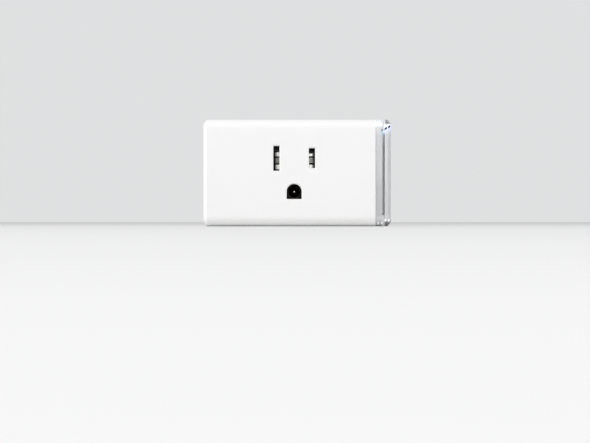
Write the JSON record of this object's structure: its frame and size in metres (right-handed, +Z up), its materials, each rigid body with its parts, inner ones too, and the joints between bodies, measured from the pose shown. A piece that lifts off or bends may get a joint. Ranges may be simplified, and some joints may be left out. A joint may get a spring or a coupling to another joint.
{
  "type": "smart plug",
  "caption": "White plug-in smart switch with one grounded receptacle, a clear lit end button and grounded blades on the back.",
  "frame": {"origin": "on the flat rear face that meets the wall plate, midway between the blades' line and the ground pin", "axes": "+X to the right seen from the front, +Y out of the rear face into the wall, +Z up"},
  "size_m": [0.067, 0.0549, 0.0382],
  "materials": {
    "white_shell": "satin white moulded polycarbonate",
    "clear_plastic": "polished clear polycarbonate",
    "carrier_plastic": "satin grey moulded plastic",
    "black_plastic": "matte black moulded plastic",
    "nickel_plate": "nickel-plated brass, light draw marks",
    "contact_brass": "tinned spring brass",
    "screw_steel": "zinc-plated steel",
    "relay_iron": "zinc-plated soft iron",
    "contact_silver": "silver alloy",
    "copper_winding": "enamelled copper wire",
    "board_green": "green solder mask on fibreglass",
    "board_black": "black solder mask on fibreglass",
    "bobbin_plastic": "natural moulded nylon",
    "capacitor_sleeve": "shrink sleeve over an aluminium can",
    "varistor_epoxy": "dipped epoxy",
    "film_box": "moulded box",
    "resistor_coat": "flameproof coating",
    "ferrite": "coated ferrite core",
    "chip_epoxy": "moulded epoxy",
    "led_lens": "lit blue lens",
    "sheet_film": "insulating film"
  },
  "bodies": {
    "case": {"front_cover": "white_shell", "rear_cover": "white_shell", "side_light_guide": "clear_plastic", "contact_shroud": "black_plastic", "board_header": "black_plastic", "relay_base": "black_plastic", "relay_case": "black_plastic", "switch_body": "black_plastic", "line_blade": "nickel_plate", "neutral_blade": "nickel_plate", "ground_pin": "nickel_plate", "rf_shield": "nickel_plate", "switch_cover": "nickel_plate", "line_contact": "contact_brass", "neutral_contact": "contact_brass", "ground_contact": "contact_brass", "relay_fixed_terminal": "contact_brass", "relay_coil_pin_1": "contact_brass", "relay_coil_pin_2": "contact_brass", "case_screw_1": "screw_steel", "case_screw_2": "screw_steel", "case_screw_3": "screw_steel", "case_screw_4": "screw_steel", "board_screw_1": "screw_steel", "board_screw_2": "screw_steel", "relay_core": "relay_iron", "relay_yoke": "relay_iron", "relay_fixed_contact": "contact_silver", "relay_coil": "copper_winding", "main_board": "board_green", "control_board": "board_black", "relay_bobbin": "bobbin_plastic", "bulk_capacitor_1": "capacitor_sleeve", "bulk_capacitor_2": "capacitor_sleeve", "varistor": "varistor_epoxy", "suppression_capacitor": "film_box", "fuse_resistor": "resistor_coat", "filter_inductor": "ferrite", "bridge_rectifier": "chip_epoxy", "driver_chip": "chip_epoxy", "status_led": "led_lens", "insulating_sheet": "sheet_film", "voltage_regulator": "chip_epoxy", "relay_transistor": "chip_epoxy", "flyback_diode": "chip_epoxy", "wifi_chip": "chip_epoxy", "crystal": "nickel_plate", "switch_dome": "contact_brass"},
    "button": {"power_button": "clear_plastic", "button_carrier": "carrier_plastic"},
    "switch_plunger_body": {"switch_plunger": "black_plastic"},
    "armature": {"relay_armature": "relay_iron", "relay_contact_spring": "contact_brass", "relay_moving_contact": "contact_silver"}
  },
  "joints": [
    {"name": "button_press", "type": "slide", "parent": "case", "child": "button", "axis": [-1, 0, 0], "range_m": [0, 0.0004], "stiffness_N_per_m": 700, "springref_m": -0.0015},
    {"name": "plunger_press", "type": "slide", "parent": "case", "child": "switch_plunger_body", "axis": [-1, 0, 0], "range_m": [0, 0.0004]},
    {"name": "armature_tilt", "type": "hinge", "parent": "case", "child": "armature", "pos_m": [-0.0178, -0.0156, 0.0063], "axis": [0, -1, 0], "range_deg": [0, 3.5], "stiffness_Nm_per_rad": 0.01, "springref_deg": -5.73}
  ],
  "couplings": [
    {"joint": "plunger_press", "follows": "button_press", "ratio": 1}
  ]
}
